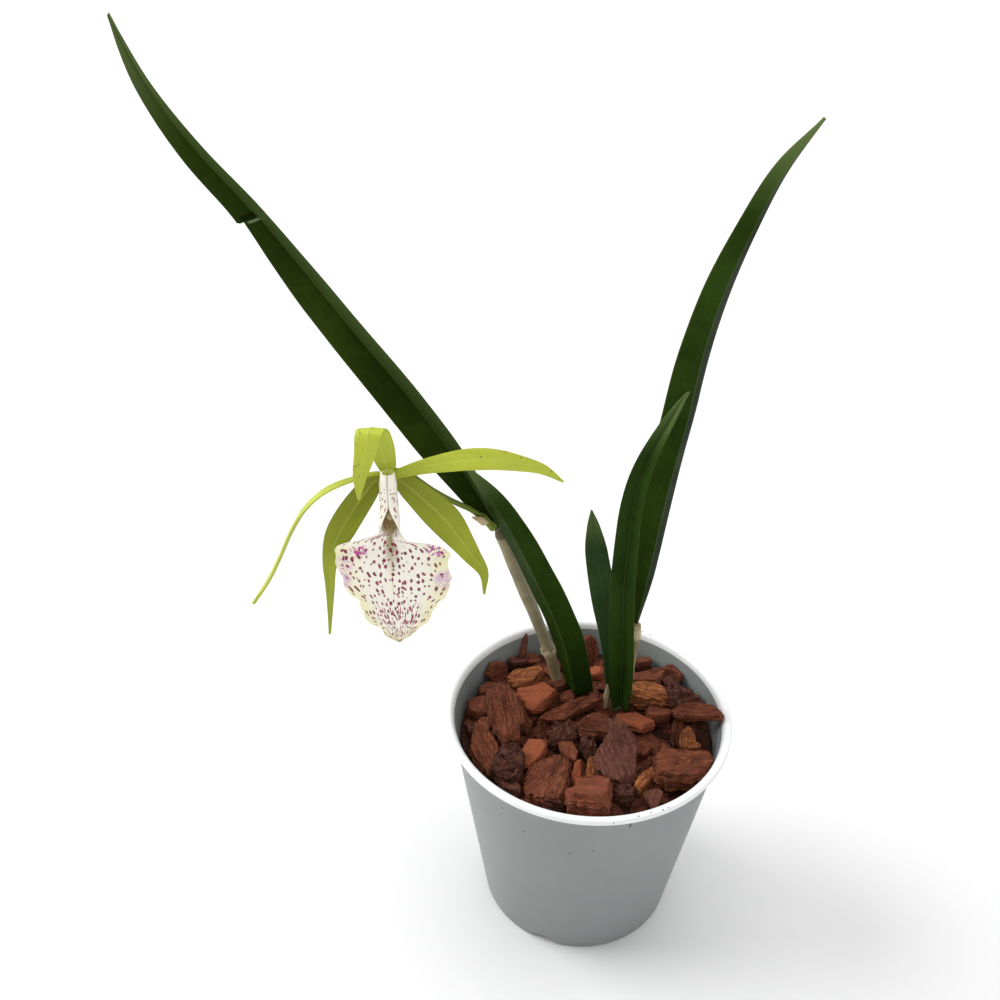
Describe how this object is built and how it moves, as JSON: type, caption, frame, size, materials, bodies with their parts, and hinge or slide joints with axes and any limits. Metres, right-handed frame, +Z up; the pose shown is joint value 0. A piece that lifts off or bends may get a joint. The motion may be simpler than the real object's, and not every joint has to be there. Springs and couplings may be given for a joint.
{
  "type": "potted brassocattleya orchid",
  "caption": "Young brassocattleya orchid in a round nursery pot of bark, with strap leaves and one open flower: narrow yellow-green petals round a spotted cream lip.",
  "frame": {"origin": "centre of the pot's flat underside, on the surface that it stands on", "axes": "+Z up along the pot's axis, -Y the way the flower faces, +X to the right of someone who looks at the flower"},
  "size_m": [0.1644, 0.09, 0.2837],
  "materials": {
    "pot_plastic": "matte, light grey moulded plastic",
    "bark_brown": "rough reddish brown bark",
    "bark_orange": "rough orange-brown bark face",
    "bark_dark": "rough dark bark",
    "root": "matt, silvery root skin",
    "cane": "satin, ripe cane in its dry skin",
    "dry_sheath": "matt, papery",
    "shoot": "satin",
    "leaf": "satin, leathery dark green",
    "stalk": "satin",
    "petal": "soft satin, yellow-green",
    "column": "soft satin, cream",
    "lip": "soft satin, cream with crimson spots"
  },
  "bodies": {
    "root": {"anther_cap": "column", "bark_bed": "bark_dark", "cane_sheath": "dry_sheath", "chip_big_layered": "bark_dark", "chip_big_oval": "bark_brown", "chip_curved": "bark_brown", "chip_front_left": "bark_brown", "chip_front_orange": "bark_orange", "chip_leaning": "bark_brown", "chip_left_diagonal": "bark_brown", "chip_left_wall": "bark_brown", "chip_light_left": "bark_brown", "chip_long_flat": "bark_brown", "chip_long_slanted": "bark_brown", "chip_middle": "bark_brown", "chip_orange_left": "bark_orange", "chip_orange_right": "bark_orange", "chip_over_rim": "bark_brown", "chip_pointed": "bark_brown", "chip_polygon": "bark_orange", "chip_rear_flat": "bark_brown", "chip_rear_right": "bark_brown", "chip_rectangular": "bark_brown", "chip_rough": "bark_brown", "chip_sliver": "bark_brown", "chip_standing_left": "bark_brown", "chip_tall_back": "bark_brown", "chip_textured": "bark_brown", "chip_triangle": "bark_orange", "chip_upright_right": "bark_brown", "chip_wedge": "bark_brown", "chip_wrinkled": "bark_dark", "column": "column", "dorsal_sepal": "petal", "lateral_sepal_left": "petal", "lateral_sepal_right": "petal", "leaf_1": "leaf", "leaf_2": "leaf", "leaf_3": "leaf", "leaf_4": "leaf", "leaf_5": "leaf", "lip": "lip", "new_shoot": "shoot", "old_cane": "cane", "ovary": "stalk", "peduncle": "stalk", "petal_left": "petal", "petal_right": "petal", "pot": "pot_plastic", "rhizome": "cane", "right_cane": "dry_sheath", "root_1": "root", "root_2": "root", "root_3": "root", "root_4": "root", "root_5": "root", "shoot_sheath": "dry_sheath", "short_cane": "cane", "stalk_bract": "dry_sheath"}
  },
  "joints": []
}
